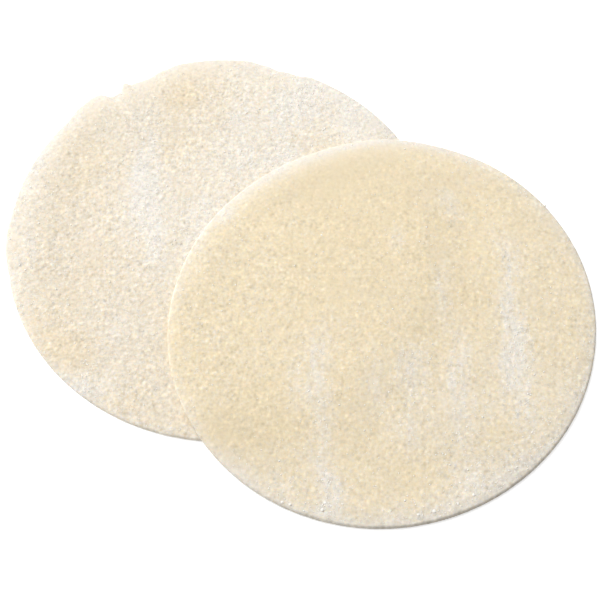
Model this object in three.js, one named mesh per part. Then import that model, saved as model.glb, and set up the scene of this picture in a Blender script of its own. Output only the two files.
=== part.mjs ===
// A stack of dumpling wrappers: two thin round sheets of rolled wheat dough, dusted with flour.
// The upper sheet lies half over the lower one and droops past its edge, down to the surface that
// both of them rest on. Sizes are millimetres, +X runs to the right, +Y to the back and +Z up.
import * as THREE from "three";
import { mergeVertices } from "three/addons/utils/BufferGeometryUtils.js";

// Both sheets are rolled to one thickness, and thin out more and more towards their cut edges.
const THICKNESS = 1.25;
const EDGE_THINNING = 0.45;
const THINNING_REACH = 6;

// The cut edge in section: a soft curve above, a tight one below, widest at a share of the thickness.
const TOP_ROUNDING = 0.4;
const UNDER_ROUNDING = 0.3;
const WIDEST_AT = 0.4;

// The upper sheet lies on the flour that dusts the lower one. It starts to droop a little before the
// lower sheet's edge. One share of its height is lost soon beyond that edge, and the rest settles over
// a longer way, down to the surface.
const FLOUR_GAP = 0.15;
const DROOP_BEFORE = 6;
const DROOP_BEYOND = 10;
const SETTLE_BEYOND = 26;
const SETTLE_SHARE = 0.5;

// A low swell follows part of each rim, strongest in one direction from the middle.
const SWELL_INSET = 5;

// How finely the sheets are faceted: steps round a sheet, and steps round each curve of its cut edge.
// The rows of points across the top stand closer together towards the rim.
const STEPS_ROUND = 144;
const ROW_CROWDING = 1.5;
const TOP_EDGE_STEPS = 3;
const UNDER_EDGE_STEPS = 1;

// The two sheets, in the order in which they were laid down. Angles are degrees, anticlockwise from +X.
// oval is the share by which the outline is longer along ovalAlong, and shorter across it.
// Each of edgeMarks is a stretch where handling has moved the outline out, or in where push is below 0.
const LOWER = {
  name: "lower_wrapper",
  centre: new THREE.Vector2(-16.8, 9.75),
  radius: 46.3,
  oval: 0.007,
  ovalAlong: -22,
  swell: 0.18,
  swellTowards: 140,
  edgeMarks: [
    { from: 65, to: 80, rampIn: 5, rampOut: 5, push: -0.7 },
    { from: 80, to: 108, rampIn: 5, rampOut: 5, push: 0.6 },
    { from: 108, to: 127.5, rampIn: 5, rampOut: 2.5, push: -1 },
    { from: 118.4, to: 121.8, rampIn: 1.5, rampOut: 1.7, push: 1.3 },
    { from: 121, to: 127.5, rampIn: 2, rampOut: 2.5, push: -0.5 },
    { from: 126, to: 140, rampIn: 2.5, rampOut: 6, push: 0.8 },
    { from: 170, to: 190, rampIn: 8, rampOut: 8, push: 0.4 },
  ],
  topRows: 10,
  underRows: 3,
  color: 0xf3eada,
};

const UPPER = {
  name: "upper_wrapper",
  centre: new THREE.Vector2(16.8, -9.75),
  radius: 45,
  oval: 0.017,
  ovalAlong: 43,
  swell: 0.16,
  swellTowards: 125,
  edgeMarks: [
    { from: 45, to: 200, rampIn: 40, rampOut: 50, push: -0.65 },
    { from: 85, to: 160, rampIn: 25, rampOut: 40, push: -0.7 },
    { from: 245, to: 355, rampIn: 30, rampOut: 30, push: 0.15 },
  ],
  topRows: 13,
  underRows: 12,
  color: 0xeee0c2,
};

// How far apart two directions are, in degrees from 0 to 360.
function turnFrom(start, angle) {
  return THREE.MathUtils.euclideanModulo(angle - start, 360);
}

// 1 along a stretch of the outline, fading to 0 at both of its ends.
function alongStretch(mark, angle) {
  const turn = turnFrom(mark.from, angle);
  const length = turnFrom(mark.from, mark.to);
  if (turn > length) return 0;
  const fadeIn = THREE.MathUtils.smoothstep(turn, 0, mark.rampIn);
  const fadeOut = THREE.MathUtils.smoothstep(length - turn, 0, mark.rampOut);
  return fadeIn * fadeOut;
}

// Distance from a sheet's centre to its cut edge, in one direction.
function edgeDistance(sheet, angle) {
  const lobes = Math.cos(2 * THREE.MathUtils.degToRad(angle - sheet.ovalAlong));
  let distance = sheet.radius * (1 + sheet.oval * lobes);
  for (const mark of sheet.edgeMarks) distance += mark.push * alongStretch(mark, angle);
  return distance;
}

function directionFrom(sheet, place) {
  const angle = Math.atan2(place.y - sheet.centre.y, place.x - sheet.centre.x);
  return THREE.MathUtils.radToDeg(angle);
}

// How far a place lies inside a sheet's cut edge, and below 0 how far outside.
function inset(sheet, place) {
  return edgeDistance(sheet, directionFrom(sheet, place)) - place.distanceTo(sheet.centre);
}

// The lower sheet lies flat. The upper one follows the lower one's top, then droops past its edge.
function undersideHeight(sheet, place) {
  if (sheet === LOWER) return 0;
  const beyond = -inset(LOWER, place);
  const steep = THREE.MathUtils.smoothstep(beyond, -DROOP_BEFORE, DROOP_BEYOND);
  const slow = THREE.MathUtils.smoothstep(beyond, -DROOP_BEFORE, SETTLE_BEYOND);
  const droop = THREE.MathUtils.lerp(steep, slow, SETTLE_SHARE);
  return (THICKNESS + FLOUR_GAP) * (1 - droop);
}

function thinning(sheet, place) {
  const towardsEdge = 1 - THREE.MathUtils.clamp(inset(sheet, place) / THINNING_REACH, 0, 1);
  return EDGE_THINNING * towardsEdge ** 3;
}

function swell(sheet, place) {
  const fromCrest = Math.abs(inset(sheet, place) - SWELL_INSET) / SWELL_INSET;
  const across = 1 - THREE.MathUtils.smoothstep(fromCrest, 0, 1);
  const turn = THREE.MathUtils.degToRad(directionFrom(sheet, place) - sheet.swellTowards);
  return sheet.swell * across * Math.max(0, Math.cos(turn));
}

function sheetThickness(sheet, place) {
  return THICKNESS - thinning(sheet, place) + swell(sheet, place);
}

// Half of a sheet's section, from its middle across the top, round the cut edge and back underneath.
// x is the distance from the middle, and y is the share of the thickness above the underside.
function sectionOf(sheet) {
  const flatTop = sheet.radius - TOP_ROUNDING;
  const flatUnder = sheet.radius - UNDER_ROUNDING;
  const section = [];
  for (let i = 0; i < sheet.topRows; i++) {
    const towardsRim = 1 - (1 - i / sheet.topRows) ** ROW_CROWDING;
    section.push(new THREE.Vector2(flatTop * towardsRim, 1));
  }
  const topCurve = new THREE.EllipseCurve(
    flatTop, WIDEST_AT, TOP_ROUNDING, 1 - WIDEST_AT, Math.PI / 2, 0, true,
  );
  const underCurve = new THREE.EllipseCurve(
    flatUnder, WIDEST_AT, UNDER_ROUNDING, WIDEST_AT, 0, -Math.PI / 2, true,
  );
  section.push(...topCurve.getPoints(TOP_EDGE_STEPS));
  section.push(...underCurve.getPoints(UNDER_EDGE_STEPS).slice(1));
  for (let i = sheet.underRows - 1; i >= 0; i--) {
    section.push(new THREE.Vector2((flatUnder * i) / sheet.underRows, 0));
  }
  return section.reverse();
}

// A perfectly round sheet is turned from its section, and each of its points is then moved to the
// real outline and to its height on the sheet as it lies.
function sheetGeometry(sheet) {
  const turned = new THREE.LatheGeometry(sectionOf(sheet), STEPS_ROUND);
  turned.deleteAttribute("normal");
  turned.deleteAttribute("uv");
  const geometry = mergeVertices(turned);
  geometry.rotateX(Math.PI / 2);

  const points = geometry.attributes.position;
  for (let i = 0; i < points.count; i++) {
    const spot = new THREE.Vector2(points.getX(i), points.getY(i));
    const angle = THREE.MathUtils.radToDeg(spot.angle());
    spot.multiplyScalar(edgeDistance(sheet, angle) / sheet.radius);
    const place = spot.clone().add(sheet.centre);
    const share = points.getZ(i);
    const height = undersideHeight(sheet, place) + share * sheetThickness(sheet, place);
    points.setXYZ(i, spot.x, spot.y, height);
  }
  geometry.computeVertexNormals();
  return geometry;
}

function sheetMesh(sheet) {
  const dough = new THREE.MeshStandardMaterial({
    color: sheet.color,
    roughness: 0.85,
    metalness: 0,
  });
  const mesh = new THREE.Mesh(sheetGeometry(sheet), dough);
  mesh.name = sheet.name;
  mesh.position.set(sheet.centre.x, sheet.centre.y, 0);
  return mesh;
}

const stack = new THREE.Group();
stack.add(sheetMesh(LOWER), sheetMesh(UPPER));

// The origin is on the resting surface, below the middle of the stack's footprint.
const footprint = new THREE.Box3().setFromObject(stack, true);
const middle = footprint.getCenter(new THREE.Vector3());
stack.position.set(-middle.x, -middle.y, 0);

export default stack;
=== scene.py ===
# %% [markdown]
# # A stack of dumpling wrappers
#
# The real object is two round sheets of raw wheat dough. A machine rolls the dough to a little over a
# millimetre, stamps the rounds out of it and dusts them with flour so that they don't stick. One sheet
# lies half over the other and droops past its edge.
#
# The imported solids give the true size, outline and droop. This script dresses them: it replaces each
# plain solid by a finely meshed sheet of the same form, with the pebbly face of rolled dough, and adds
# the flour. All lengths below are millimetres until a mesh is made, and angles are degrees,
# anticlockwise from +X.

import math
from types import SimpleNamespace

import bmesh
import bpy
import numpy as np
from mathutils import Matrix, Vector


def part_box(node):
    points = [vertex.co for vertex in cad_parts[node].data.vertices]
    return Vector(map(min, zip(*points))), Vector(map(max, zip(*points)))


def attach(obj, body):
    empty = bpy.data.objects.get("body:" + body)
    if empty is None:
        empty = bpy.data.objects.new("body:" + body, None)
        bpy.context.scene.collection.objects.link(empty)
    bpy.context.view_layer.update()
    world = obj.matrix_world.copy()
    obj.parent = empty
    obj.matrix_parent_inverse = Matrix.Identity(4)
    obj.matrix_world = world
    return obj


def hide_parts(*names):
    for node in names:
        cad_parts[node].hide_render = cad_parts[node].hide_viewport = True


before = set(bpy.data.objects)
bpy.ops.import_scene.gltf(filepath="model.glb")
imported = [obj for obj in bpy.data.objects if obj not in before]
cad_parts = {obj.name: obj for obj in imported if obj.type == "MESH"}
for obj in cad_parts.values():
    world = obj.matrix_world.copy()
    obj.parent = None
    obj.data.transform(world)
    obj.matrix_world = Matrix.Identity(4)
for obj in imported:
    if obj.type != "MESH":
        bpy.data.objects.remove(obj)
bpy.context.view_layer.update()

MM = 0.001
scene = bpy.context.scene

# %% [markdown]
# ## The camera
#
# The sheets are seen from the front and well above. Seen from 64 degrees above the table, a circle
# looks as flat as these two do. A long lens, 20 degrees wide, keeps the far sheet from shrinking.
# The camera looks at a point a little in front of the middle of the stack.

# %% Camera
CAMERA_ELEVATION = 64.0
CAMERA_DISTANCE = 360.7
LENS_ANGLE = 20.0
LOOK_AT = Vector((0.55, -4.83, 0.0))


def from_above(elevation, azimuth, distance):
    """A point that far from the origin, in that direction."""
    up, round_z = math.radians(elevation), math.radians(azimuth)
    flat = distance * math.cos(up)
    return Vector((flat * math.cos(round_z), flat * math.sin(round_z), distance * math.sin(up)))


def aim(thing, place, target):
    """Puts a camera or lamp at a place and turns it to look at the target, both in millimetres."""
    thing.location = place * MM
    thing.rotation_euler = (target - place).to_track_quat("-Z", "Y").to_euler()
    scene.collection.objects.link(thing)


camera = bpy.data.objects.new("camera", bpy.data.cameras.new("camera"))
camera.data.angle = math.radians(LENS_ANGLE)
aim(camera, LOOK_AT + from_above(CAMERA_ELEVATION, -90, CAMERA_DISTANCE), LOOK_AT)
scene.camera = camera
print("camera at", [round(v / MM, 1) for v in camera.location], "mm")

# %% [markdown]
# ## The two sheets as cut and handled
#
# A cutter leaves a round outline, and picking the sheet up pulls it slightly oval and pushes a few
# stretches of the edge in or out. One small function of the angle holds all of that. It could also be
# drawn as a curve by hand, but a function can be asked for the edge in any direction, which every
# later step needs: the thin rim, the droop and the flour all depend on how near the edge is.

# %% What handling did to each sheet
def mark(start, end, ramp_in, ramp_out, push):
    """A stretch where handling moved the outline out, or in where push is below 0."""
    return SimpleNamespace(start=start, end=end, ramp_in=ramp_in, ramp_out=ramp_out, push=push)


LOWER = SimpleNamespace(
    name="lower_wrapper", radius=46.3, oval=0.007, oval_along=-22, swell=0.18, swell_towards=140,
    edge_marks=[
        mark(65, 80, 5, 5, -0.7),
        mark(80, 108, 5, 5, 0.6),
        mark(108, 127.5, 5, 2.5, -1.0),
        mark(118.4, 121.8, 1.5, 1.7, 1.3),
        mark(121, 127.5, 2, 2.5, -0.5),
        mark(126, 140, 2.5, 6, 0.8),
        mark(170, 190, 8, 8, 0.4),
    ],
)
UPPER = SimpleNamespace(
    name="upper_wrapper", radius=45.0, oval=0.017, oval_along=43, swell=0.16, swell_towards=125,
    edge_marks=[
        mark(45, 200, 40, 50, -0.65),
        mark(85, 160, 25, 40, -0.7),
        mark(245, 355, 30, 30, 0.15),
    ],
)
SHEETS = (LOWER, UPPER)
for sheet in SHEETS:
    print(sheet.name, "has", len(sheet.edge_marks), "marks on its edge")

# %% The outline in any direction
FULL_TURN = 360.0


def smoothstep(value, start, end):
    """0 before start, 1 after end, and an easy slope between them."""
    share = np.clip((value - start) / (end - start), 0.0, 1.0)
    return share * share * (3.0 - 2.0 * share)


def along_stretch(stretch, angle):
    """1 along a stretch of the outline, fading to 0 at both of its ends."""
    turn = np.mod(angle - stretch.start, FULL_TURN)
    length = stretch.end - stretch.start
    fade = smoothstep(turn, 0, stretch.ramp_in) * smoothstep(length - turn, 0, stretch.ramp_out)
    return np.where(turn > length, 0.0, fade)


def edge_distance(sheet, angle):
    """Distance from a sheet's centre to its cut edge, in one direction."""
    distance = sheet.radius * (1.0 + sheet.oval * np.cos(2.0 * np.radians(angle - sheet.oval_along)))
    for stretch in sheet.edge_marks:
        distance = distance + stretch.push * along_stretch(stretch, angle)
    return distance


# %% Each outline put on its solid
def on_circle(angle):
    """Unit steps along X and Y towards each angle."""
    return np.cos(np.radians(angle)), np.sin(np.radians(angle))


def put_on_solid(sheet):
    """Finds the sheet's centre: its outline fills the same box as its solid."""
    low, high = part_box(sheet.name)
    angle = np.arange(0.0, FULL_TURN, 0.5)
    reach = edge_distance(sheet, angle)
    middle = [(reach * step).min() / 2 + (reach * step).max() / 2 for step in on_circle(angle)]
    sheet.x = (low.x + high.x) / 2 / MM - middle[0]
    sheet.y = (low.y + high.y) / 2 / MM - middle[1]
    print(sheet.name, "is centred on", round(sheet.x, 2), round(sheet.y, 2))


for sheet in SHEETS:
    put_on_solid(sheet)

# %% [markdown]
# ## How the sheets lie
#
# The lower sheet lies flat. The upper one rests on the flour of the lower one, and past the hidden
# edge it comes down to the table in a soft step, quick at first and slow at its foot. A cloth simulation
# could find that droop too, but dough is heavy and limp and settles plainly, so two smoothsteps give the
# same shape, run at once and match the solid exactly. Near its cut edge the dough is thinner, and a low
# swell follows the rim where the dough crept back after it was cut.

# %% Heights
THICKNESS = 1.25
FLOUR_GAP = 0.15
DROOP_BEFORE = 6.0
DROOP_BEYOND = 10.0
SETTLE_BEYOND = 26.0
SETTLE_SHARE = 0.5


def direction_from(sheet, x, y):
    """The direction in which a place lies, seen from a sheet's centre."""
    return np.degrees(np.arctan2(y - sheet.y, x - sheet.x))


def inset(sheet, x, y):
    """How far a place lies inside a sheet's cut edge, and below 0 how far outside."""
    return edge_distance(sheet, direction_from(sheet, x, y)) - np.hypot(x - sheet.x, y - sheet.y)


def underside_height(sheet, x, y):
    """0 for the lower sheet. The upper one lies on it, and comes down beyond its edge."""
    if sheet is LOWER:
        return np.zeros_like(x)
    beyond = -inset(LOWER, x, y)
    steep = smoothstep(beyond, -DROOP_BEFORE, DROOP_BEYOND)
    slow = smoothstep(beyond, -DROOP_BEFORE, SETTLE_BEYOND)
    droop = (1.0 - SETTLE_SHARE) * steep + SETTLE_SHARE * slow
    return (THICKNESS + FLOUR_GAP) * (1.0 - droop)


print("the upper sheet comes down by", THICKNESS + FLOUR_GAP, "mm")

# %% Thickness
EDGE_THINNING = 0.45
THINNING_REACH = 6.0
SWELL_INSET = 5.0


def sheet_thickness(sheet, x, y):
    """The plain sheet's thickness: thin at the rim, with a low swell inside a part of it."""
    inwards = inset(sheet, x, y)
    thinning = EDGE_THINNING * (1.0 - np.clip(inwards / THINNING_REACH, 0.0, 1.0)) ** 3
    across = 1.0 - smoothstep(np.abs(inwards - SWELL_INSET) / SWELL_INSET, 0.0, 1.0)
    facing = np.cos(np.radians(direction_from(sheet, x, y) - sheet.swell_towards))
    return THICKNESS - thinning + sheet.swell * across * np.maximum(facing, 0.0)


print("a rim is", round(THICKNESS - EDGE_THINNING, 2), "mm thick, and the rest", THICKNESS, "mm")

# %% [markdown]
# ## Seeded noise
#
# Rolled dough has no two places alike: it undulates over centimetres and carries faint streaks along the
# rolling direction. Both come from one smooth noise, asked for at other sizes. Blender has a noise in
# mathutils, but it answers one point at a time. This one is the same recipe, slopes on a lattice blended
# between its corners, for a whole sheet of points at once.
#
# Every use of it on a sheet is a layer, which says how strong it is, how wide its lumps are, how much
# longer they are than wide, and what it adds to the sheet's own seed. So no two layers are alike.

# %% Noise
LATTICE = 512
NOISE_GAIN = 1.6


def eased(share):
    """From 0 to 1 without a crease at either end."""
    return share**3 * (share * (6.0 * share - 15.0) + 10.0)


def noise(x, y, size, seed, stretch=1.0):
    """Smooth noise from about -1 to 1, in lumps size mm wide and stretch times as long along Y."""
    turn = np.random.default_rng(seed).uniform(0.0, FULL_TURN, (LATTICE, LATTICE))
    slope_x, slope_y = on_circle(turn)
    u, v = x / size, y / (size * stretch)
    column, row = np.floor(u).astype(int), np.floor(v).astype(int)
    u, v = u - column, v - row

    def corner(right, up):
        i, j = (column + right) % LATTICE, (row + up) % LATTICE
        return slope_x[i, j] * (u - right) + slope_y[i, j] * (v - up)

    near = corner(0, 0) + eased(u) * (corner(1, 0) - corner(0, 0))
    far = corner(0, 1) + eased(u) * (corner(1, 1) - corner(0, 1))
    return NOISE_GAIN * (near + eased(v) * (far - near))


# %% Layers of noise
LOWER.seed, UPPER.seed = 11, 71


def layer(strength, size, seed_step, stretch=1.0):
    """One use of the noise on the sheets."""
    return SimpleNamespace(strength=strength, size=size, seed_step=seed_step, stretch=stretch)


def layered(sheet, x, y, *layers):
    """Some layers of noise on a sheet, added up."""
    return sum(
        one.strength * noise(x, y, one.size, sheet.seed + one.seed_step, one.stretch)
        for one in layers
    )


for sheet in SHEETS:
    print("the noise on", sheet.name, "starts from seed", sheet.seed)

# %% [markdown]
# ## Pebbles
#
# The dusting flour takes up water and turns into soft lumps, under a millimetre apart, so the face of the
# dough is pebbly. Smooth noise makes worm-like ridges out of that. Round lumps and pits look right: one
# in each cell of a grid, shifted at random inside its cell and of a random height, and added up. The
# last pass through the rollers leaves them a little longer than wide. The lower sheet was turned before
# that pass, so its pebbles lean.

# %% Pebble field
PEBBLE_SPACING = 0.78
PEBBLE_WIDTH = 0.38
PEBBLE_GAIN = 3.6
PEBBLE_SEED_STEP = 3
LOWER.lean, LOWER.stretch = 50.0, 1.3
UPPER.lean, UPPER.stretch = 90.0, 1.15


def pebbles(sheet, x, y):
    """A field of round lumps, above 0, and pits, below 0. Most of it lies between -1 and 1.
    The lumps are longer than wide by the sheet's stretch, along the angle in its lean."""
    chance = np.random.default_rng(sheet.seed + PEBBLE_SEED_STEP)
    shift_u, shift_v, tall = chance.uniform(0.0, 1.0, (3, LATTICE, LATTICE))
    tall = 2.0 * tall - 1.0
    step_x, step_y = on_circle(sheet.lean)
    u = (x * step_y - y * step_x) / PEBBLE_SPACING
    v = (x * step_x + y * step_y) / (PEBBLE_SPACING * sheet.stretch)
    column, row = np.floor(u).astype(int), np.floor(v).astype(int)
    height = np.zeros_like(x)
    for right in (-1, 0, 1):
        for up in (-1, 0, 1):
            i, j = (column + right) % LATTICE, (row + up) % LATTICE
            across = u - column - right - shift_u[i, j]
            along = v - row - up - shift_v[i, j]
            height += tall[i, j] * np.exp(-(across**2 + along**2) / PEBBLE_WIDTH**2)
    return PEBBLE_GAIN * height


for sheet in SHEETS:
    print("pebbles on", sheet.name, "are", sheet.stretch, "times as long towards", sheet.lean)

# %% [markdown]
# ## Where the flour lies
#
# The lower sheet is dusted nearly all over. The upper one is mostly bare and creamy, with soft white
# streaks that run along the rolling direction, Y, where flour was caught under the roller. Each streak
# is a soft spindle with a place, a half width, a half length and a strength, and noise that is long
# along Y frays them. The rims are floured too, and more deeply in some directions: such a band is an
# arc. Where a strength is below 0, there is less flour than round about. Painting a mask by hand would
# do as well, but it would need an image.

# %% Streaks and arcs
def streak(x, y, half_width, half_length, strength):
    """A soft spindle, long along Y."""
    return SimpleNamespace(
        x=x, y=y, half_width=half_width, half_length=half_length, strength=strength
    )


def arc(towards, spread, reach, strength):
    """A band inside the rim, in one direction from the middle, spread degrees to either side."""
    return SimpleNamespace(towards=towards, spread=spread, reach=reach, strength=strength)


# %% Flour on the lower sheet
LOWER.flour_base = 0.46
LOWER.flour_rim = 0.5
LOWER.arcs = [
    arc(212, 55, 13, -0.2),
    arc(209, 9, 4.5, -0.2),
    arc(255, 14, 5, -0.2),
    arc(150, 14, 2.5, 0.3),
    arc(50, 22, 7, 0.22),
]
LOWER.streaks = [
    streak(-33, 23, 3.0, 9, 0.5),
    streak(-31, 10, 2.4, 8, 0.5),
    streak(-34, 34, 4.0, 9, 0.25),
    streak(-12, 38, 4.0, 14, 0.22),
    streak(-3, 34, 4.5, 16, 0.3),
    streak(12, 38, 3.0, 10, 0.3),
    streak(3, 44, 3.0, 8, 0.2),
    streak(-18, 20, 9.0, 17, 0.12),
    streak(-22, 8, 5.0, 11, 0.15),
    streak(-6, 27, 6.0, 6, 0.12),
    streak(-38, -15, 3.0, 8, 0.15),
    streak(-43, -25, 5.0, 3, 0.4),
    streak(-58, 8, 3.0, 17, 0.25),
    streak(-25, 46, 5.0, 6, -0.32),
    streak(-47, 28, 5.0, 8, -0.2),
    streak(-48, -17, 5.0, 4, -0.3),
    streak(-44, 3, 4.0, 6, -0.12),
    streak(1, 42, 8.0, 5, 0.17),
    streak(-34, 18, 4.0, 8, 0.2),
    streak(-29, 33, 6.0, 6, -0.17),
    streak(-28, -12, 2.5, 6, -0.15),
    streak(-20, 14, 4.0, 8, 0.1),
    streak(14, 34, 6.0, 5, 0.1),
]
print("the lower sheet has", len(LOWER.streaks), "streaks and", len(LOWER.arcs), "arcs of flour")

# %% Flour on the upper sheet
UPPER.flour_base = 0.13
UPPER.flour_rim = 0.72
UPPER.arcs = [
    arc(288, 45, 6, 0.42),
    arc(190, 17, 2.5, -0.4),
    arc(120, 26, 2.8, 0.55),
    arc(83, 22, 1.8, 0.45),
]
UPPER.streaks = [
    streak(45, -12, 2.6, 10, 0.85),
    streak(45.5, 4, 2.2, 6, 0.3),
    streak(46, -26, 4.0, 9, 0.42),
    streak(4, -22, 3.2, 9, 0.55),
    streak(5, -38, 2.2, 8, 0.4),
    streak(6.5, -49, 2.2, 5, 0.7),
    streak(24, -22, 3.2, 6, 0.52),
    streak(23, -35, 2.2, 6, 0.25),
    streak(33, -20, 2.8, 8, 0.5),
    streak(34, -36, 5.0, 11, 0.5),
    streak(16, -24, 2.0, 7, 0.3),
    streak(-1, -24, 1.5, 4, 0.25),
    streak(30.5, -4, 1.5, 7, 0.35),
    streak(33, 17, 2.0, 4, 0.42),
    streak(21, 9, 1.5, 3, 0.36),
    streak(-6, 3, 3.0, 3, 0.12),
    streak(-17, -15, 2.0, 3, 0.15),
    streak(42, -44, 9.0, 5, 0.35),
    streak(44, -26, 7.0, 14, 0.2),
    streak(52, -4, 5.0, 16, 0.12),
    streak(-9, -45, 8.0, 3, 0.18),
    streak(-15, 14, 1.5, 2, 0.3),
    streak(-9, -31, 5.0, 5, -0.22),
    streak(11, 12, 16.0, 17, -0.12),
    streak(44.5, 4, 3.0, 7, 0.14),
    streak(55, -25, 4.0, 5, 0.2),
    streak(23, -33, 8.0, 8, 0.18),
    streak(36, -39, 6.0, 6, -0.24),
    streak(-12, -35, 12.0, 3.5, -0.2),
    streak(2, -42, 8.0, 6, 0.14),
    streak(47, -18, 3.0, 8, 0.08),
]
print("the upper sheet has", len(UPPER.streaks), "streaks and", len(UPPER.arcs), "arcs of flour")

# %% The amount of flour
FLOUR_RIM_REACH = 1.8
FLOUR_PATCHES = layer(0.07, 5.0, 40, 1.6)
FRAY = layer(0.5, 1.3, 41, 4.0)
FINE_FRAY = layer(0.4, 0.65, 42, 4.0)
WANDER = layer(1.2, 9.0, 43)
HALF_TURN = 180.0


def turn_between(start, angle):
    """How far an angle is turned from the start, from -180 to 180."""
    return np.mod(angle - start + HALF_TURN, FULL_TURN) - HALF_TURN


def all_arcs(arcs, sheet, x, y):
    """The strengths of some arcs, added up."""
    total = np.zeros_like(x)
    direction = direction_from(sheet, x, y)
    inwards = np.maximum(inset(sheet, x, y), 0.0)
    for one in arcs:
        turn = turn_between(one.towards, direction)
        total += one.strength * np.exp(-(turn / one.spread) ** 2 - (inwards / one.reach) ** 2)
    return total


def counted_in(one, x, y):
    """How far a place lies from a streak's middle, counted in its half widths and half lengths."""
    return (x - one.x) / one.half_width, (y - one.y) / one.half_length


def flour_amount(sheet, x, y):
    """From 0, bare dough, to 1, covered."""
    amount = sheet.flour_base + layered(sheet, x, y, FLOUR_PATCHES)
    frayed = 1.0 + layered(sheet, x, y, FRAY)
    frayed += layered(sheet, x, y, FINE_FRAY)
    wander = layered(sheet, x, y, WANDER)
    for one in sheet.streaks:
        across, along = counted_in(one, x + wander, y)
        amount = amount + one.strength * frayed * np.exp(-across**2 - along**2 * np.abs(along))
    inwards = np.maximum(inset(sheet, x, y), 0.0)
    amount = amount + sheet.flour_rim * np.exp(-inwards / FLOUR_RIM_REACH)
    return np.clip(amount + all_arcs(sheet.arcs, sheet, x, y), 0.0, 1.0)


# %% [markdown]
# ## Where the face is coarse
#
# The back rims are smooth, as the cutter pressed them, and so are some bands further in. Each of them is
# an arc too, with a strength below 0, and one above 0 makes the front rim a little coarser. The left of
# the upper sheet is coarser as well, and so are its floured places, since flour clumps. Patches of
# smoother and coarser dough come from noise.

# %% How coarse the face is
COARSE_PATCHES = layer(0.25, 6.0, 50, 1.4)
COARSER_LEFT = 0.26
LEFT_FROM, LEFT_TO = 8.0, -16.0
COARSE_BARE, COARSE_BY_FLOUR = 0.87, 0.2
COARSE_LIMITS = (0.3, 1.8)
LOWER.coarse_arcs = [arc(118, 65, 4.5, -0.65)]
UPPER.coarse_arcs = [
    arc(90, 45, 9, -0.4),
    arc(112, 38, 20, -0.3),
    arc(165, 25, 2.5, -0.3),
    arc(218, 20, 4.5, -0.3),
    arc(226, 17, 11, -0.35),
    arc(312, 32, 6, 0.12),
]


def coarseness(sheet, x, y):
    """About 1 on most of the face, less where it is smooth, and more where flour has clumped."""
    coarse = 1.0 + all_arcs(sheet.coarse_arcs, sheet, x, y)
    coarse = coarse + layered(sheet, x, y, COARSE_PATCHES)
    if sheet is UPPER:
        coarse = coarse + COARSER_LEFT * smoothstep(-x, -LEFT_FROM, -LEFT_TO)
        coarse = coarse * (COARSE_BARE + COARSE_BY_FLOUR * flour_amount(sheet, x, y))
    return np.clip(coarse, *COARSE_LIMITS)


print("the face is from", COARSE_LIMITS[0], "to", COARSE_LIMITS[1], "times as coarse as usual")

# %% [markdown]
# ## Paler and darker dough
#
# Some wide soft places, of the same form as a streak, are painted only a few hundredths paler or darker
# than the rest. On the upper sheet they are mostly painted light and shade: painted light at the back
# right, and painted shade towards the front, where the light falls off. On the lower sheet they make the
# dough a little paler in some places and darker in others.

# %% Paler and darker places, partly painted light and shade
LOWER.paler = [
    streak(-10, 48, 13, 5, 0.037),
    streak(9, 37, 10, 8, 0.038),
    streak(-35, 16, 8, 8, 0.028),
    streak(-20, 23, 9, 8, 0.035),
    streak(-22, 33, 8, 3, 0.04),
    streak(-29, 37, 12, 4, -0.043),
    streak(-50, 9, 4, 18, -0.042),
    streak(-33, -16, 12, 7, -0.026),
]
# The upper sheet's places: painted light at the back right, painted shade towards the front.
UPPER.paler = [
    streak(29, 28, 7, 4, 0.066),
    streak(39, 9, 6, 15, 0.055),
    streak(32, -16, 5, 8, 0.036),
    streak(-8, 14, 6, 6, 0.033),
    streak(-13, -33, 9, 8, -0.06),
    streak(43, -40, 13, 6, -0.05),
    streak(19, -3, 7, 7, -0.02),
    streak(-24, -12, 2.5, 13, -0.042),
    streak(53, -22, 4, 10, -0.02),
]


def paleness_and_painted_light(sheet, x, y):
    """How much paler the dough is painted, below 0 how much darker: mostly painted light and shade."""
    total = np.zeros_like(x)
    for one in sheet.paler:
        across, along = counted_in(one, x, y)
        total += one.strength * np.exp(-across**2 - along**2)
    return total


print(len(LOWER.paler) + len(UPPER.paler), "places are paler or darker than the rest")

# %% [markdown]
# ## The face of the dough
#
# Real relief is small: the broad undulation is a twentieth of a millimetre and the pebbles half of that.
# It is put into the mesh all the same, down to the size of its facets, because a low light shows it and
# because a mesh with real relief also looks right from the side. Where the upper sheet presses on the
# lower one, the lower one's relief is pressed flat. What is finer than the facets is left to the bump
# in the material.

# %% Relief
UNDULATIONS = (layer(0.045, 17.0, 0), layer(0.018, 7.0, 1), layer(0.020, 3.2, 2, 1.6))
FLOUR_LUMPS = layer(0.016, 1.1, 4)
FLOUR_DEPTH = 0.02
PRESSED_FROM, PRESSED_FLAT = 0.5, 3.0
LOWER.pebble_height, UPPER.pebble_height = 0.019, 0.0155


def pebbled(sheet, x, y):
    """The pebbles of a sheet, lower where its face is smooth."""
    return coarseness(sheet, x, y) * pebbles(sheet, x, y)


def relief(sheet, x, y, flour):
    """How far the top stands above the plain sheet."""
    height = layered(sheet, x, y, *UNDULATIONS)
    height += sheet.pebble_height * pebbled(sheet, x, y)
    height += flour * (FLOUR_DEPTH + layered(sheet, x, y, FLOUR_LUMPS))
    if sheet is LOWER:
        height = height * (1.0 - smoothstep(inset(UPPER, x, y), PRESSED_FROM, PRESSED_FLAT))
    return height


# %% [markdown]
# The cut edge is a little uneven too, most of all at the back of the lower sheet, where it was torn. Its
# noise runs along the rim as along a straight strip, and fades out at the two ends of the strip, so that
# they meet. The strip's length follows from the radius: 57.3 degrees of the rim, a radian, are as long.

# %% Cut edge
EDGE_RAGGED = 0.05
RAGGED = (layer(0.7, 2.6, 20), layer(0.3, 0.9, 21))
TORN = mark(58, 142, 12, 12, 0.16)
RADIAN = 57.3
SEAM = 4.0


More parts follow.
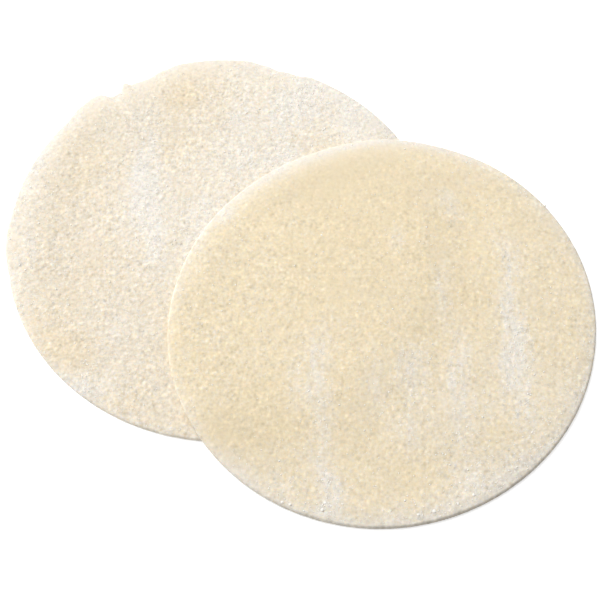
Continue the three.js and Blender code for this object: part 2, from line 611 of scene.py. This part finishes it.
def ragged_edge(sheet, angle):
    """The fine unevenness of the cut edge, in mm."""
    along = np.radians(np.mod(angle, FULL_TURN)) * sheet.radius
    size = EDGE_RAGGED
    if sheet is LOWER:
        size = size + TORN.push * along_stretch(TORN, angle)
    left = FULL_TURN / RADIAN * sheet.radius - along
    seam = smoothstep(along, 0.0, SEAM) * smoothstep(left, 0.0, SEAM)
    return size * seam * layered(sheet, along, np.zeros_like(along), *RAGGED)


for sheet in SHEETS:
    widest = np.abs(ragged_edge(sheet, np.arange(0.0, FULL_TURN, 0.5))).max()
    print("the edge of", sheet.name, "is ragged by up to", round(float(widest), 2), "mm")

# %% [markdown]
# ## The mesh of a sheet
#
# A sheet could be a cylinder with a bevel and a subdivision surface, but its poles would bunch up and
# its facets would be long. Here each sheet is rings of points: one point in the middle, then 6, 12, 18
# and so on, which keeps every facet nearly equal-sided, then rings of equal number round the cut edge,
# and coarser rings underneath. Rings of different numbers are stitched with one function.

# %% Rings
TOP_ROUNDING = 0.4
UNDER_ROUNDING = 0.3
WIDEST_AT = 0.4
RING_GROWTH = 6
TOP_RINGS = 164
TOP_EDGE_RINGS = 8
UNDER_EDGE_RINGS = 4
UNDER_RINGS = 30


def sheet_rings(sheet):
    """Rings from the middle of the top, over the edge, to the middle of the underside.
    Each is its number of points, its distance from the middle and its share of the thickness."""
    flat_top = sheet.radius - TOP_ROUNDING
    flat_under = sheet.radius - UNDER_ROUNDING
    full_ring = RING_GROWTH * TOP_RINGS
    rings = [(max(RING_GROWTH * k, 1), flat_top * k / TOP_RINGS, 1.0) for k in range(TOP_RINGS + 1)]
    for k in range(1, TOP_EDGE_RINGS + 1):
        turn = math.pi / 2 * k / TOP_EDGE_RINGS
        share = WIDEST_AT + (1.0 - WIDEST_AT) * math.cos(turn)
        rings.append((full_ring, flat_top + TOP_ROUNDING * math.sin(turn), share))
    for k in range(1, UNDER_EDGE_RINGS + 1):
        turn = math.pi / 2 * k / UNDER_EDGE_RINGS
        share = WIDEST_AT * (1.0 - math.sin(turn))
        rings.append((full_ring, flat_under + UNDER_ROUNDING * math.cos(turn), share))
    for k in range(UNDER_RINGS - 1, -1, -1):
        rings.append((max(RING_GROWTH * k, 1), flat_under * k / UNDER_RINGS, 0.0))
    return rings


print("a sheet has", len(sheet_rings(LOWER)), "rings, the largest of", RING_GROWTH * TOP_RINGS, "points")

# %% Facets between the rings
def stitch(first, first_count, second, second_count):
    """Triangles between two rings, given by the number of their first point and how many they have."""
    triangles = []
    i = j = 0
    while i < first_count or j < second_count:
        a, next_a = first + i % first_count, first + (i + 1) % first_count
        b, next_b = second + j % second_count, second + (j + 1) % second_count
        if i == first_count or (j < second_count and (j + 1) * first_count <= (i + 1) * second_count):
            if next_b != b:
                triangles.append((a, b, next_b))
            j += 1
        else:
            if next_a != a:
                triangles.append((a, b, next_a))
            i += 1
    return triangles


def lay_out_rings(sheet):
    """The facets of a sheet, and for each of its points the angle, the distance from the middle, the
    share of the thickness, and the distance from the middle if the sheet were round."""
    columns, triangles, start = [], [], 0
    rings = sheet_rings(sheet)
    for number, (count, distance, share) in enumerate(rings):
        angle = np.arange(count) * FULL_TURN / count
        reach = edge_distance(sheet, angle) + ragged_edge(sheet, angle)
        columns.append(np.stack([
            angle, distance * reach / sheet.radius, np.full(count, share), np.full(count, distance),
        ]))
        if number + 1 < len(rings):
            triangles += stitch(start, count, start + count, rings[number + 1][0])
        start += count
    return triangles, np.concatenate(columns, axis=1)


# %% [markdown]
# Each point of a sheet also carries four paints for the material to read: how much flour lies there, how
# tall its pebble is, how coarse the face is, and how much paler or darker the dough is painted. That last
# paint also darkens the cut edge. It is a little darker all round, for the bare dough of the cut, and much
# darker as painted shade on the side turned away from the window, in front, most of all on the upper
# sheet.

# %% Grey and painted shade of the cut edge
DARK_CUT_FROM = 0.6
DARK_CUT_FULL = 0.25
PAINTED_SHADE_TOWARDS = 297.0
PAINTED_SHADE_SPREAD = 50.0
LEAST_GREY = 0.05
# How dark each sheet's cut edge is painted at most: the bare cut's grey and painted shade together.
LOWER.greyest, UPPER.greyest = 0.05, 0.31


def cut_grey_and_painted_shade(sheet, angle, if_round):
    """How much darker the cut edge is painted: a little all round for its bare dough, and much more as
    painted shade on the side away from the window. It starts a little inside the edge, and if_round is
    how far from the middle a point would lie if the sheet were round."""
    turn = turn_between(PAINTED_SHADE_TOWARDS, angle)
    # The share of the darkening: full painted shade on the side away from the window, over a little grey
    # all round for the bare cut.
    bare = LEAST_GREY + (1.0 - LEAST_GREY) * np.exp(-(turn / PAINTED_SHADE_SPREAD) ** 2)
    edge = smoothstep(if_round, sheet.radius - DARK_CUT_FROM, sheet.radius - DARK_CUT_FULL)
    return sheet.greyest * bare * edge


# %% Build the sheets
def new_piece(name, points, triangles):
    """A smooth-shaded mesh object from points in millimetres."""
    mesh = bpy.data.meshes.new(name)
    mesh.from_pydata((np.asarray(points) * MM).tolist(), [], triangles)
    mesh.shade_smooth()
    piece = bpy.data.objects.new(name, mesh)
    scene.collection.objects.link(piece)
    return piece


def paint(piece, name, values):
    """Keeps one number for each point of the mesh, for its material to read."""
    piece.data.attributes.new(name, "FLOAT", "POINT").data.foreach_set("value", values)


def make_sheet(sheet):
    """The dressed sheet, finely meshed and painted."""
    triangles, (angle, distance, share, if_round) = lay_out_rings(sheet)
    step_x, step_y = on_circle(angle)
    x, y = sheet.x + distance * step_x, sheet.y + distance * step_y
    flour = flour_amount(sheet, x, y)
    top = sheet_thickness(sheet, x, y) + relief(sheet, x, y, flour)
    z = underside_height(sheet, x, y) + share * top
    piece = new_piece(sheet.name + "_dough", np.stack([x, y, z], axis=1), triangles)
    # The paler paint also carries painted shade: the darkened cut edge, and the upper sheet's painted
    # light and shade in its wide places.
    paint(piece, "paler", paleness_and_painted_light(sheet, x, y) - cut_grey_and_painted_shade(sheet, angle, if_round))
    paint(piece, "flour", flour)
    # The material paints the pebble tops paler, for their flour, and the pits darker, as painted shade.
    paint(piece, "pebbles", pebbled(sheet, x, y))
    paint(piece, "coarse", coarseness(sheet, x, y))
    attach(piece, "root")
    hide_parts(sheet.name)
    print(piece.name, len(piece.data.polygons), "triangles, up to", round(float(z.max()), 2), "mm high")
    return piece


lower_piece = make_sheet(LOWER)
upper_piece = make_sheet(UPPER)

# %% [markdown]
# ## Loose flour and crumbs
#
# Not all of the flour is rubbed in. Grains and small clumps of it lie loose on top, a fifth of a
# millimetre across, most of them where the dusting is thickest. A few crumbs, three times as large, lie
# near the front, and one at the right. A particle system would scatter them too, but they are wanted as
# real pieces, so they are made as one mesh: each grain is a small sphere, dented, flattened, turned and
# half sunk into the dough.

# %% Scattering
OPEN_FROM = 0.7
TRIES = 24
LEAST_LIKELY = 0.08


def top_height(sheet, x, y):
    """How high the floured top of a sheet is above the table."""
    flour = flour_amount(sheet, x, y)
    return underside_height(sheet, x, y) + sheet_thickness(sheet, x, y) + relief(sheet, x, y, flour)


def scatter(sheet, wanted, seed):
    """Places on the open face of a sheet, most of them where the flour lies thickest."""
    chance = np.random.default_rng(seed)
    x, y = sheet.radius * chance.uniform(-1.0, 1.0, (2, TRIES * wanted))
    x, y = x + sheet.x, y + sheet.y
    keep = inset(sheet, x, y) > OPEN_FROM
    if sheet is LOWER:
        keep &= inset(UPPER, x, y) < -OPEN_FROM
    likely = coarseness(sheet, x, y) * (LEAST_LIKELY + flour_amount(sheet, x, y) ** 2)
    keep &= chance.uniform(0.0, 1.0, x.shape) < likely
    return x[keep][:wanted], y[keep][:wanted]


# %% Lumps
FLATNESS = 0.3
SQUEEZE_LIMITS = (0.75, 1.2)
DENT_LIMITS = (0.8, 1.2)


def round_lump(detail):
    """The points and triangles of a sphere 1 across."""
    lump = bmesh.new()
    bmesh.ops.create_icosphere(lump, subdivisions=detail, radius=0.5)
    points = np.array([point.co for point in lump.verts])
    triangles = np.array([[corner.index for corner in face.verts] for face in lump.faces])
    lump.free()
    return points, triangles


def lumps_at(x, y, top, size, detail, seed):
    """The points and triangles of one lump for each place, all of them different."""
    chance = np.random.default_rng(seed)
    points, triangles = round_lump(detail)
    many = len(x)
    squeeze = chance.uniform(*SQUEEZE_LIMITS, (many, 1, 3)) * (1.0, 1.0, FLATNESS)
    dents = chance.uniform(*DENT_LIMITS, (many, len(points), 1))
    local = points * dents * squeeze * size[:, None, None]
    cos, sin = on_circle(chance.uniform(0.0, FULL_TURN, (many, 1)))
    place = np.stack([
        x[:, None] + cos * local[..., 0] - sin * local[..., 1],
        y[:, None] + sin * local[..., 0] + cos * local[..., 1],
        top[:, None] + local[..., 2],
    ], axis=2)
    first_points = len(points) * np.arange(many)[:, None, None]
    return place.reshape(-1, 3), (triangles + first_points).reshape(-1, 3)


# %% Loose flour
LOWER.grains, UPPER.grains = 5000, 3600
LOWER.grain_seed, UPPER.grain_seed = 301, 302
GRAIN_SIZE, GRAIN_SPREAD, GRAIN_LIMITS = 0.21, 0.3, (0.12, 0.45)
GRAIN_SIZE_SEED, GRAIN_SHAPE_SEED = 303, 304
GRAIN_DETAIL = 1


def make_loose_flour():
    """All loose grains of flour on both sheets, as one mesh."""
    columns = []
    for sheet in SHEETS:
        x, y = scatter(sheet, sheet.grains, sheet.grain_seed)
        columns.append((x, y, top_height(sheet, x, y)))
    x, y, top = np.concatenate(columns, axis=1)
    spread = GRAIN_SPREAD * np.random.default_rng(GRAIN_SIZE_SEED).normal(size=len(x))
    size = np.clip(GRAIN_SIZE * np.exp(spread), *GRAIN_LIMITS)
    points, triangles = lumps_at(x, y, top, size, GRAIN_DETAIL, GRAIN_SHAPE_SEED)
    return new_piece("loose_flour", points, triangles.tolist())


loose_flour = make_loose_flour()
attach(loose_flour, "root")
print(loose_flour.name, len(loose_flour.data.polygons), "triangles")

# %% Crumbs
CRUMB_PLACES = [
    (24.1, -52.9), (27.3, -52.2), (32.1, -50.6), (35.3, -48.8), (32.7, -46.2), (53.8, 17.6),
    (-3.0, -50.3), (-1.4, -50.8), (1.3, -52.1), (5.6, -50.5), (5.0, -51.9), (6.7, -51.2),
]
CRUMB_LIMITS = (0.45, 0.8)
CRUMB_SIZE_SEED, CRUMB_SHAPE_SEED = 305, 306
CRUMB_DETAIL = 2


def make_crumbs():
    """The few larger crumbs on the upper sheet, as one mesh."""
    x, y = np.array(CRUMB_PLACES).T
    size = np.random.default_rng(CRUMB_SIZE_SEED).uniform(*CRUMB_LIMITS, len(x))
    top = top_height(UPPER, x, y)
    points, triangles = lumps_at(x, y, top, size, CRUMB_DETAIL, CRUMB_SHAPE_SEED)
    return new_piece("crumbs", points, triangles.tolist())


crumbs = make_crumbs()
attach(crumbs, "root")
print(crumbs.name, len(crumbs.data.polygons), "triangles")

# %% [markdown]
# ## Two effects that the materials share
#
# The dough grain and the flour both show on each sheet, so each is a node group, built once and placed
# in the materials with their own values. The groups put out only numbers between 0 and 1: a colour
# share, or a height for the bump.

# %% Node helpers
def node(tree, kind, label, **values):
    """A new node, with its sockets or properties set by name."""
    made = tree.nodes.new(kind)
    made.label = label
    for key, value in values.items():
        name = key.replace("_", " ")
        if name in made.inputs:
            made.inputs[name].default_value = value
        else:
            setattr(made, key, value)
    return made


def math_node(tree, operation, first, second, clamp=False):
    """A Math node on two things, each a number or a socket. Gives back its output."""
    made = tree.nodes.new("ShaderNodeMath")
    made.operation = operation
    made.use_clamp = clamp
    for socket, thing in zip(made.inputs, (first, second)):
        if isinstance(thing, (int, float)):
            socket.default_value = thing
        else:
            tree.links.new(thing, socket)
    return made.outputs[0]


def new_group(name, inputs, outputs):
    """An empty shader node group with named float or vector sockets."""
    tree = bpy.data.node_groups.new(name, "ShaderNodeTree")
    for socket, kind, value in inputs:
        made = tree.interface.new_socket(socket, in_out="INPUT", socket_type=kind)
        if value is not None:
            made.default_value = value
    for socket in outputs:
        tree.interface.new_socket(socket, in_out="OUTPUT", socket_type="NodeSocketFloat")
    return tree, tree.nodes.new("NodeGroupInput"), tree.nodes.new("NodeGroupOutput")


def scaled(tree, vector, size_socket):
    """The place in the dough counted in grains: metres, times 1000, over the size in millimetres."""
    per_metre = math_node(tree, "DIVIDE", 1.0 / MM, size_socket)
    made = node(tree, "ShaderNodeVectorMath", "in grains", operation="SCALE")
    tree.links.new(vector, made.inputs[0])
    tree.links.new(per_metre, made.inputs["Scale"])
    return made.outputs[0]


# %% [markdown]
# ### Dough grain
#
# Flour that was rolled in and tiny air pockets leave a grain that is finer than the pebbles of the mesh.
# A smooth Voronoi pattern gives its round domes. Plain noise bends them, so that they run together, a
# second noise lays low ridges between them, and a third says which grains are paler.

# %% Dough grain group
BEND = 1.4
DOME_SHARE = 0.45
RIDGE_SHARE = 0.9
LOWEST = 0.2


def dough_grain_group():
    """A group that gives the height and the tone of the grain at each place."""
    tree, given, result = new_group(
        "dough_grain",
        [("Place", "NodeSocketVector", None), ("Grain size", "NodeSocketFloat", 0.55)],
        ["Height", "Tone"],
    )
    place = scaled(tree, given.outputs["Place"], given.outputs["Grain size"])
    bend = node(tree, "ShaderNodeTexNoise", "bends the pebbles", Scale=0.9, Detail=1.0)
    bent = node(tree, "ShaderNodeVectorMath", "bent place", operation="MULTIPLY_ADD")
    bent.inputs[1].default_value = (BEND, BEND, BEND)
    tree.links.new(bend.outputs["Color"], bent.inputs[0])
    tree.links.new(place, bent.inputs[2])
    round_ones = node(
        tree, "ShaderNodeTexVoronoi", "pebbles", feature="SMOOTH_F1", Scale=0.8, Smoothness=0.6
    )
    tree.links.new(bent.outputs[0], round_ones.inputs["Vector"])
    ridges = node(tree, "ShaderNodeTexNoise", "ridges", Scale=1.1, Detail=2.0, Roughness=0.5)
    tone = node(tree, "ShaderNodeTexNoise", "tone", Scale=0.75, Detail=2.0, Roughness=0.5)
    for texture in (bend, ridges, tone):
        tree.links.new(place, texture.inputs["Vector"])
    domes = math_node(tree, "SUBTRACT", 1.0, round_ones.outputs["Distance"])
    domes = math_node(tree, "MULTIPLY", domes, DOME_SHARE)
    low_ridges = math_node(tree, "MULTIPLY", ridges.outputs["Fac"], RIDGE_SHARE)
    height = math_node(tree, "ADD", domes, low_ridges)
    height = math_node(tree, "SUBTRACT", height, LOWEST, clamp=True)
    tree.links.new(height, result.inputs["Height"])
    tree.links.new(tone.outputs["Fac"], result.inputs["Tone"])
    return tree


dough_grain = dough_grain_group()
print("group", dough_grain.name, "is ready")

# %% [markdown]
# ### Flour dusting
#
# The sheets carry how much flour lies at each point. Flour isn't a wash of paint, though: it gathers
# into clumps and leaves pinholes. So noise as fine as a clump is added to the amount before it is used,
# and the same clumps give the flour its own height.

# %% Flour dusting group
CLUMP_MIDDLE = 0.5


def flour_dusting_group():
    """A group that gives where the flour shows, and how high it lies."""
    tree, given, result = new_group(
        "flour_dusting",
        [("Place", "NodeSocketVector", None), ("Amount", "NodeSocketFloat", 0.5),
         ("Clump size", "NodeSocketFloat", 0.7), ("Clumpiness", "NodeSocketFloat", 1.0)],
        ["Mask", "Height"],
    )
    place = scaled(tree, given.outputs["Place"], given.outputs["Clump size"])
    clumps = node(tree, "ShaderNodeTexNoise", "clumps", Scale=1.0, Detail=3.0, Roughness=0.6)
    tree.links.new(place, clumps.inputs["Vector"])
    offset = math_node(tree, "SUBTRACT", clumps.outputs["Fac"], CLUMP_MIDDLE)
    spread = math_node(tree, "MULTIPLY", offset, given.outputs["Clumpiness"])
    mask = math_node(tree, "ADD", given.outputs["Amount"], spread, clamp=True)
    tree.links.new(mask, result.inputs["Mask"])
    height = math_node(tree, "MULTIPLY", mask, clumps.outputs["Fac"])
    tree.links.new(height, result.inputs["Height"])
    return tree


flour_dusting = flour_dusting_group()
print("group", flour_dusting.name, "is ready")

# %% [markdown]
# ## The dough materials
#
# Raw wheat dough is matt, creamy and slightly see-through: light enters, scatters for about a
# millimetre and comes out warmer. The Principled shader does that with a little subsurface weight. The
# lower sheet is paler, because it is floured nearly all over. What the materials have in common, such as
# a blend of two colours or a bump, is a helper.

# %% Material helpers
def linear(red, green, blue):
    """A colour as it shows on a screen, 0 to 255, as the linear colour that a shader takes. The bare
    numbers are those of the curve that screens share."""
    shares = [channel / 255.0 for channel in (red, green, blue)]
    return tuple(s / 12.92 if s <= 0.04045 else ((s + 0.055) / 1.055) ** 2.4 for s in shares) + (1.0,)


def new_material(name):
    """A material of nodes, with its tree and its shader."""
    material = bpy.data.materials.new(name)
    material.use_nodes = True
    return material, material.node_tree, material.node_tree.nodes["Principled BSDF"]


def use_group(tree, group, label, **values):
    """A shared effect placed in a material, read at each place of the piece."""
    made = node(tree, "ShaderNodeGroup", label, node_tree=group, **values)
    place = tree.nodes.new("ShaderNodeTexCoord").outputs["Object"]
    tree.links.new(place, made.inputs["Place"])
    return made


def read_paint(tree, name, label):
    """What was painted on the points of the piece, as a socket."""
    return node(tree, "ShaderNodeAttribute", label, attribute_name=name).outputs["Fac"]


def blend(tree, label, share, first, second):
    """A blend of two screen colours, as a socket."""
    made = node(tree, "ShaderNodeMix", label, data_type="RGBA")
    tree.links.new(share, made.inputs["Factor"])
    made.inputs[6].default_value = linear(*first)
    made.inputs[7].default_value = linear(*second)
    return made.outputs[2]


def add_bump(tree, shader, label, heights, depth):
    """Dents the shader's surface by up to depth, in millimetres, and gives back the Bump node."""
    made = node(tree, "ShaderNodeBump", label, Distance=depth * MM)
    tree.links.new(heights, made.inputs["Height"])
    tree.links.new(made.outputs["Normal"], shader.inputs["Normal"])
    return made


# %% Dough material
FLOUR_BUMP_SHARE = 0.5


def tone_of_dough(tree, grain, coarse, grain_tone, pebble_flour_and_shade):
    """1 where the dough is as pale as usual, more where paler and less where darker: grains, pebble tops
    paler for their flour with painted shade in the pits, and the paler paint with its painted light and
    shade.
    """
    shade = node(tree, "ShaderNodeMapRange", "paler and darker grains",
                 From_Min=0.3, From_Max=0.7, To_Min=-grain_tone, To_Max=grain_tone)
    tree.links.new(grain.outputs["Tone"], shade.inputs["Value"])
    paler_grains = math_node(tree, "MULTIPLY", shade.outputs["Result"], coarse)
    lumps = read_paint(tree, "pebbles", "pebbles on the sheet")
    # Pebble tops painted paler, for the flour that they catch, and pits darker, as painted shade.
    flour_tops_and_shaded_pits = math_node(tree, "MULTIPLY", lumps, pebble_flour_and_shade)
    tone = math_node(tree, "ADD", paler_grains, flour_tops_and_shaded_pits)
    # The paler paint: painted shade on the cut edges, and wide places that are partly painted light and
    # shade.
    tone = math_node(tree, "ADD", tone, read_paint(tree, "paler", "how pale the dough is"))
    return math_node(tree, "ADD", tone, 1.0)


def dough_material(name, bare, floured, grain_size, grain_depth, grain_tone, pebble_flour_and_shade, clumpiness):
    """Dough that shows its grain, its pebbles and the flour on it."""
    material, tree, shader = new_material(name)
    coarse = read_paint(tree, "coarse", "how coarse the face is")
    grain = use_group(tree, dough_grain, "grain", Grain_size=grain_size)
    flour = use_group(tree, flour_dusting, "flour")
    tree.links.new(math_node(tree, "MULTIPLY", coarse, clumpiness), flour.inputs["Clumpiness"])
    tree.links.new(read_paint(tree, "flour", "flour on the sheet"), flour.inputs["Amount"])

    toned = node(tree, "ShaderNodeVectorMath", "toned", operation="SCALE")
    dusted = blend(tree, "flour over dough", flour.outputs["Mask"], bare, floured)
    tree.links.new(dusted, toned.inputs[0])
    tone = tone_of_dough(tree, grain, coarse, grain_tone, pebble_flour_and_shade)
    tree.links.new(tone, toned.inputs["Scale"])
    tree.links.new(toned.outputs[0], shader.inputs["Base Color"])

    rough = node(tree, "ShaderNodeMapRange", "flour is rougher", To_Min=0.62, To_Max=0.95)
    tree.links.new(flour.outputs["Mask"], rough.inputs["Value"])
    tree.links.new(rough.outputs["Result"], shader.inputs["Roughness"])

    flour_height = math_node(tree, "MULTIPLY", flour.outputs["Height"], FLOUR_BUMP_SHARE)
    heights = math_node(tree, "ADD", grain.outputs["Height"], flour_height)
    bump = add_bump(tree, shader, "grain and flour", heights, grain_depth)
    tree.links.new(math_node(tree, "MINIMUM", coarse, 1.0), bump.inputs["Strength"])

    shader.inputs["Subsurface Weight"].default_value = 0.3
    shader.inputs["Subsurface Radius"].default_value = (1.0, 0.75, 0.5)
    shader.inputs["Subsurface Scale"].default_value = 1.0 * MM
    shader.inputs["Specular IOR Level"].default_value = 0.3
    return material


# %% Flour material
LOOSE_GRAIN_SIZE = 0.3
LOOSE_GRAIN_DEPTH = 0.02


def flour_material(name):
    """Loose flour: matt and nearly white, each clump a little darker or paler."""
    material, tree, shader = new_material(name)
    grain = use_group(tree, dough_grain, "grain", Grain_size=LOOSE_GRAIN_SIZE)
    clumps = blend(
        tree, "paler and darker clumps", grain.outputs["Tone"], (238, 233, 222), (250, 248, 243)
    )
    tree.links.new(clumps, shader.inputs["Base Color"])
    add_bump(tree, shader, "powdery", grain.outputs["Height"], LOOSE_GRAIN_DEPTH)
    shader.inputs["Roughness"].default_value = 0.95
    shader.inputs["Specular IOR Level"].default_value = 0.2
    return material


# %% Dress the pieces
bare_dough = dough_material(
    "creamy_dough", bare=(230, 214, 181), floured=(233, 226, 214),
    grain_size=0.5, grain_depth=0.06, grain_tone=0.068, pebble_flour_and_shade=0.046, clumpiness=1.8,
)
floured_dough = dough_material(
    "dusted_dough", bare=(228, 213, 186), floured=(233, 227, 217),
    grain_size=0.5, grain_depth=0.07, grain_tone=0.1, pebble_flour_and_shade=0.05, clumpiness=2.1,
)
flour_grains = flour_material("flour_grains")
dressed = (
    (lower_piece, floured_dough, "floured_dough"),
    (upper_piece, bare_dough, "bare_dough"),
    (loose_flour, flour_grains, "floured_dough"),
    (crumbs, flour_grains, "floured_dough"),
)
for piece, material, slot in dressed:
    piece.data.materials.append(material)
    print(piece.name, "wears", material.name)

# %% [markdown]
# ## Table and light
#
# The stack lies on a plain white table. One big soft window of light stands behind it on the left and
# rather low, so that the rims and the grains that face it catch the light and the near cut edges fall
# into shade. A bright pale sky all round fills the shadows, and gives the dough nearly half of its light.
# A hard lamp would show the relief more, but would draw dark lines that soft daylight doesn't.
#
# The camera sees the table and the sky a little over white, as in a high-key photograph, so that only
# a faint shadow shows beside the stack and no horizon. The dough doesn't receive that extra white,
# because only the camera's own rays meet it.

# %% Table
TABLE_HALF = 900.0
TABLE_OVER_WHITE = 0.45


def make_table():
    """A white table, which is brighter for the camera than for the dough."""
    corners = [(-1, -1), (1, -1), (1, 1), (-1, 1)]
    points = [(TABLE_HALF * x, TABLE_HALF * y, 0.0) for x, y in corners]
    table = new_piece("table", points, [(0, 1, 2, 3)])
    material, tree, shader = new_material("white_table")
    shader.inputs["Base Color"].default_value = (0.92, 0.92, 0.92, 1.0)
    shader.inputs["Roughness"].default_value = 0.9
    shader.inputs["Emission Color"].default_value = (1.0, 1.0, 1.0, 1.0)
    seen = tree.nodes.new("ShaderNodeLightPath").outputs["Is Camera Ray"]
    over_white = math_node(tree, "MULTIPLY", seen, TABLE_OVER_WHITE)
    tree.links.new(over_white, shader.inputs["Emission Strength"])
    table.data.materials.append(material)
    return table


table = make_table()
print("the table is", 2 * TABLE_HALF * MM, "m wide")

# %% Window
WINDOW_AZIMUTH = 141.0
WINDOW_ELEVATION = 40.0
WINDOW_DISTANCE = 1300.0
WINDOW_SIDE = 1000.0
WINDOW_WATTS = 18.3

window = bpy.data.objects.new("window", bpy.data.lights.new("window", "AREA"))
window.data.size = WINDOW_SIDE * MM
window.data.energy = WINDOW_WATTS
aim(window, from_above(WINDOW_ELEVATION, WINDOW_AZIMUTH, WINDOW_DISTANCE), Vector((0, 0, 0)))
print("window of", WINDOW_WATTS, "W at", WINDOW_ELEVATION, "degrees up")

# %% Sky
SKY_STRENGTH = 0.515

world = bpy.data.worlds.new("pale sky")
world.use_nodes = True
scene.world = world
sky = world.node_tree.nodes["Background"]
sky.inputs["Color"].default_value = (1.0, 1.0, 1.0, 1.0)
seen = world.node_tree.nodes.new("ShaderNodeLightPath").outputs["Is Camera Ray"]
strength = node(world.node_tree, "ShaderNodeMapRange", "white for the camera", To_Min=SKY_STRENGTH)
world.node_tree.links.new(seen, strength.inputs["Value"])
world.node_tree.links.new(strength.outputs["Result"], sky.inputs["Strength"])
scene.view_settings.view_transform = "Standard"
scene.view_settings.look = "None"
print("the sky lights the dough with a strength of", SKY_STRENGTH)
